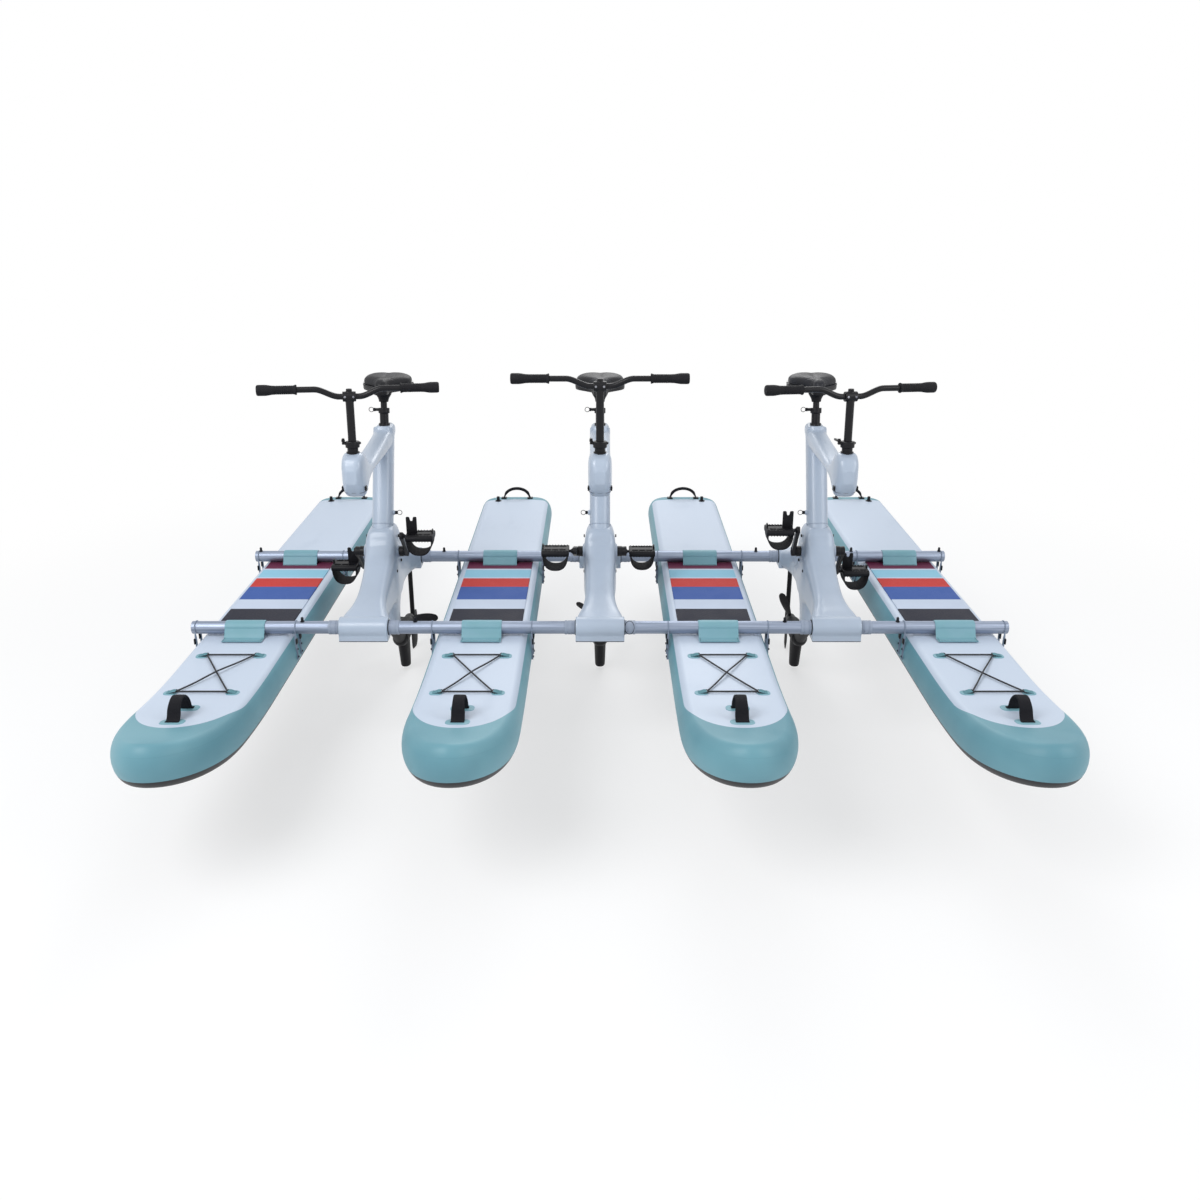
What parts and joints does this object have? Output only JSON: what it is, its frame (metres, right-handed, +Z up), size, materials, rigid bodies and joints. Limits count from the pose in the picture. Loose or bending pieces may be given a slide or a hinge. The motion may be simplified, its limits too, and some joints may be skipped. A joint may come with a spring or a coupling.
{
  "type": "water bike",
  "caption": "Water bike with pedal bikes clamped side by side on two cross tubes over inflatable boards, each driving its own propeller and rudder.",
  "frame": {"origin": "on the water plane, midway between the two cross tubes", "axes": "+X across the craft to the riders' left, +Y towards the stern, +Z up"},
  "size_m": [3.18, 3.08, 1.5134],
  "materials": {
    "board_fabric": "satin",
    "tube_aluminium": "satin",
    "white_moulding": "gloss",
    "black_moulding": "satin",
    "black_aluminium": "satin",
    "soft_black": "matte",
    "saddle_cover": "satin",
    "pin_steel": "satin"
  },
  "bodies": {
    "craft": {"board_1": "board_fabric", "board_2": "board_fabric", "board_3": "board_fabric", "board_4": "board_fabric", "front_tube": "tube_aluminium", "rear_tube": "tube_aluminium", "housing_1": "white_moulding", "frame_1": "white_moulding", "head_cover_1": "soft_black", "drive_leg_1": "black_moulding", "seat_collar_1": "black_moulding", "housing_2": "white_moulding", "frame_2": "white_moulding", "head_cover_2": "soft_black", "drive_leg_2": "black_moulding", "seat_collar_2": "black_moulding", "housing_3": "white_moulding", "frame_3": "white_moulding", "head_cover_3": "soft_black", "drive_leg_3": "black_moulding", "seat_collar_3": "black_moulding"},
    "steerer_1": {"stem_sleeve_1": "black_moulding"},
    "clamp_1": {"stem_lever_1": "black_moulding"},
    "stem_1": {"stem_post_1": "black_aluminium", "handlebar_1": "soft_black"},
    "seat_1": {"seat_post_1": "black_aluminium", "saddle_1": "saddle_cover"},
    "seat_pin_body_1": {"seat_lock_1": "pin_steel"},
    "column_pin_body_1": {"column_lock_1": "pin_steel"},
    "cranks_1": {"crankset_1": "black_moulding"},
    "pedal_left_body_1": {"pedal_left_1": "black_moulding"},
    "pedal_right_body_1": {"pedal_right_1": "black_moulding"},
    "screw_1": {"propeller_1": "black_moulding"},
    "rudder_body_1": {"rudder_1": "black_moulding"},
    "steerer_2": {"stem_sleeve_2": "black_moulding"},
    "clamp_2": {"stem_lever_2": "black_moulding"},
    "stem_2": {"stem_post_2": "black_aluminium", "handlebar_2": "soft_black"},
    "seat_2": {"seat_post_2": "black_aluminium", "saddle_2": "saddle_cover"},
    "seat_pin_body_2": {"seat_lock_2": "pin_steel"},
    "column_pin_body_2": {"column_lock_2": "pin_steel"},
    "cranks_2": {"crankset_2": "black_moulding"},
    "pedal_left_body_2": {"pedal_left_2": "black_moulding"},
    "pedal_right_body_2": {"pedal_right_2": "black_moulding"},
    "screw_2": {"propeller_2": "black_moulding"},
    "rudder_body_2": {"rudder_2": "black_moulding"},
    "steerer_3": {"stem_sleeve_3": "black_moulding"},
    "clamp_3": {"stem_lever_3": "black_moulding"},
    "stem_3": {"stem_post_3": "black_aluminium", "handlebar_3": "soft_black"},
    "seat_3": {"seat_post_3": "black_aluminium", "saddle_3": "saddle_cover"},
    "seat_pin_body_3": {"seat_lock_3": "pin_steel"},
    "column_pin_body_3": {"column_lock_3": "pin_steel"},
    "cranks_3": {"crankset_3": "black_moulding"},
    "pedal_left_body_3": {"pedal_left_3": "black_moulding"},
    "pedal_right_body_3": {"pedal_right_3": "black_moulding"},
    "screw_3": {"propeller_3": "black_moulding"},
    "rudder_body_3": {"rudder_3": "black_moulding"}
  },
  "joints": [
    {"name": "steer_1", "type": "hinge", "parent": "craft", "child": "steerer_1", "pos_m": [-0.92, -0.375, 0.7963], "axis": [0, 0.0698, 0.9976], "range_deg": [-49.5, 30.5]},
    {"name": "stem_clamp_1", "type": "hinge", "parent": "steerer_1", "child": "clamp_1", "pos_m": [-0.95255, -0.37806, 0.83068], "axis": [0, 0.0698, 0.9976], "range_deg": [0, 80]},
    {"name": "stem_height_1", "type": "slide", "parent": "steerer_1", "child": "stem_1", "axis": [0, 0.0698, 0.9976], "range_m": [-0.025, 0.075]},
    {"name": "seat_height_1", "type": "slide", "parent": "craft", "child": "seat_1", "axis": [0, 0.2079, 0.9781], "range_m": [-0.018, 0.085]},
    {"name": "seat_pin_1", "type": "slide", "parent": "craft", "child": "seat_pin_body_1", "axis": [-1, 0, 0], "range_m": [0, 0.008], "stiffness_N_per_m": 600, "springref_m": -0.004},
    {"name": "column_pin_1", "type": "slide", "parent": "craft", "child": "column_pin_body_1", "axis": [1, 0, 0], "range_m": [0, 0.008], "stiffness_N_per_m": 600, "springref_m": -0.004},
    {"name": "crank_1", "type": "hinge", "parent": "craft", "child": "cranks_1", "pos_m": [-0.92, 0.013, 0.2763], "axis": [1, 0, 0], "continuous": true},
    {"name": "pedal_left_1", "type": "hinge", "parent": "cranks_1", "child": "pedal_left_body_1", "pos_m": [-0.7375, -0.0913, 0.37702], "axis": [1, 0, 0], "continuous": true},
    {"name": "pedal_right_1", "type": "hinge", "parent": "cranks_1", "child": "pedal_right_body_1", "pos_m": [-1.1025, 0.1173, 0.17558], "axis": [1, 0, 0], "continuous": true},
    {"name": "propeller_1", "type": "hinge", "parent": "craft", "child": "screw_1", "pos_m": [-0.92, 0.5035, -0.2387], "axis": [0, 1, 0], "continuous": true},
    {"name": "rudder_1", "type": "hinge", "parent": "craft", "child": "rudder_body_1", "pos_m": [-0.92, 0.618, 0.0713], "axis": [0, 0, 1], "range_deg": [-31.5, 50.5]},
    {"name": "steer_2", "type": "hinge", "parent": "craft", "child": "steerer_2", "pos_m": [0, -0.375, 0.7963], "axis": [0, 0.0698, 0.9976], "range_deg": [-40, 40]},
    {"name": "stem_clamp_2", "type": "hinge", "parent": "steerer_2", "child": "clamp_2", "pos_m": [-0.033, -0.37262, 0.8303], "axis": [0, 0.0698, 0.9976], "range_deg": [0, 80]},
    {"name": "stem_height_2", "type": "slide", "parent": "steerer_2", "child": "stem_2", "axis": [0, 0.0698, 0.9976], "range_m": [-0.062, 0.038]},
    {"name": "seat_height_2", "type": "slide", "parent": "craft", "child": "seat_2", "axis": [0, 0.2079, 0.9781], "range_m": [-0.018, 0.085]},
    {"name": "seat_pin_2", "type": "slide", "parent": "craft", "child": "seat_pin_body_2", "axis": [-1, 0, 0], "range_m": [0, 0.008], "stiffness_N_per_m": 600, "springref_m": -0.004},
    {"name": "column_pin_2", "type": "slide", "parent": "craft", "child": "column_pin_body_2", "axis": [-1, 0, 0], "range_m": [0, 0.008], "stiffness_N_per_m": 600, "springref_m": -0.004},
    {"name": "crank_2", "type": "hinge", "parent": "craft", "child": "cranks_2", "pos_m": [0, 0.013, 0.2763], "axis": [1, 0, 0], "continuous": true},
    {"name": "pedal_left_2", "type": "hinge", "parent": "cranks_2", "child": "pedal_left_body_2", "pos_m": [0.1825, 0.1501, 0.22909], "axis": [1, 0, 0], "continuous": true},
    {"name": "pedal_right_2", "type": "hinge", "parent": "cranks_2", "child": "pedal_right_body_2", "pos_m": [-0.1825, -0.1241, 0.32351], "axis": [1, 0, 0], "continuous": true},
    {"name": "propeller_2", "type": "hinge", "parent": "craft", "child": "screw_2", "pos_m": [0, 0.5035, -0.2387], "axis": [0, 1, 0], "continuous": true},
    {"name": "rudder_2", "type": "hinge", "parent": "craft", "child": "rudder_body_2", "pos_m": [0, 0.618, 0.0713], "axis": [0, 0, 1], "range_deg": [-41, 41]},
    {"name": "steer_3", "type": "hinge", "parent": "craft", "child": "steerer_3", "pos_m": [0.92, -0.375, 0.7963], "axis": [0, 0.0698, 0.9976], "range_deg": [-49.5, 30.5]},
    {"name": "stem_clamp_3", "type": "hinge", "parent": "steerer_3", "child": "clamp_3", "pos_m": [0.88745, -0.37806, 0.83068], "axis": [0, 0.0698, 0.9976], "range_deg": [0, 80]},
    {"name": "stem_height_3", "type": "slide", "parent": "steerer_3", "child": "stem_3", "axis": [0, 0.0698, 0.9976], "range_m": [-0.025, 0.075]},
    {"name": "seat_height_3", "type": "slide", "parent": "craft", "child": "seat_3", "axis": [0, 0.2079, 0.9781], "range_m": [-0.018, 0.085]},
    {"name": "seat_pin_3", "type": "slide", "parent": "craft", "child": "seat_pin_body_3", "axis": [-1, 0, 0], "range_m": [0, 0.008], "stiffness_N_per_m": 600, "springref_m": -0.004},
    {"name": "column_pin_3", "type": "slide", "parent": "craft", "child": "column_pin_body_3", "axis": [-1, 0, 0], "range_m": [0, 0.008], "stiffness_N_per_m": 600, "springref_m": -0.004},
    {"name": "crank_3", "type": "hinge", "parent": "craft", "child": "cranks_3", "pos_m": [0.92, 0.013, 0.2763], "axis": [1, 0, 0], "continuous": true},
    {"name": "pedal_left_3", "type": "hinge", "parent": "cranks_3", "child": "pedal_left_body_3", "pos_m": [1.1025, 0.09617, 0.15752], "axis": [1, 0, 0], "continuous": true},
    {"name": "pedal_right_3", "type": "hinge", "parent": "cranks_3", "child": "pedal_right_body_3", "pos_m": [0.7375, -0.07017, 0.39508], "axis": [1, 0, 0], "continuous": true},
    {"name": "propeller_3", "type": "hinge", "parent": "craft", "child": "screw_3", "pos_m": [0.92, 0.5035, -0.2387], "axis": [0, 1, 0], "continuous": true},
    {"name": "rudder_3", "type": "hinge", "parent": "craft", "child": "rudder_body_3", "pos_m": [0.92, 0.618, 0.0713], "axis": [0, 0, 1], "range_deg": [-31.5, 50.5]}
  ],
  "couplings": [
    {"joint": "rudder_1", "follows": "steer_1", "ratio": -1},
    {"joint": "propeller_1", "follows": "crank_1", "ratio": 8},
    {"joint": "rudder_2", "follows": "steer_2", "ratio": -1},
    {"joint": "propeller_2", "follows": "crank_2", "ratio": 8},
    {"joint": "rudder_3", "follows": "steer_3", "ratio": -1},
    {"joint": "propeller_3", "follows": "crank_3", "ratio": 8}
  ]
}
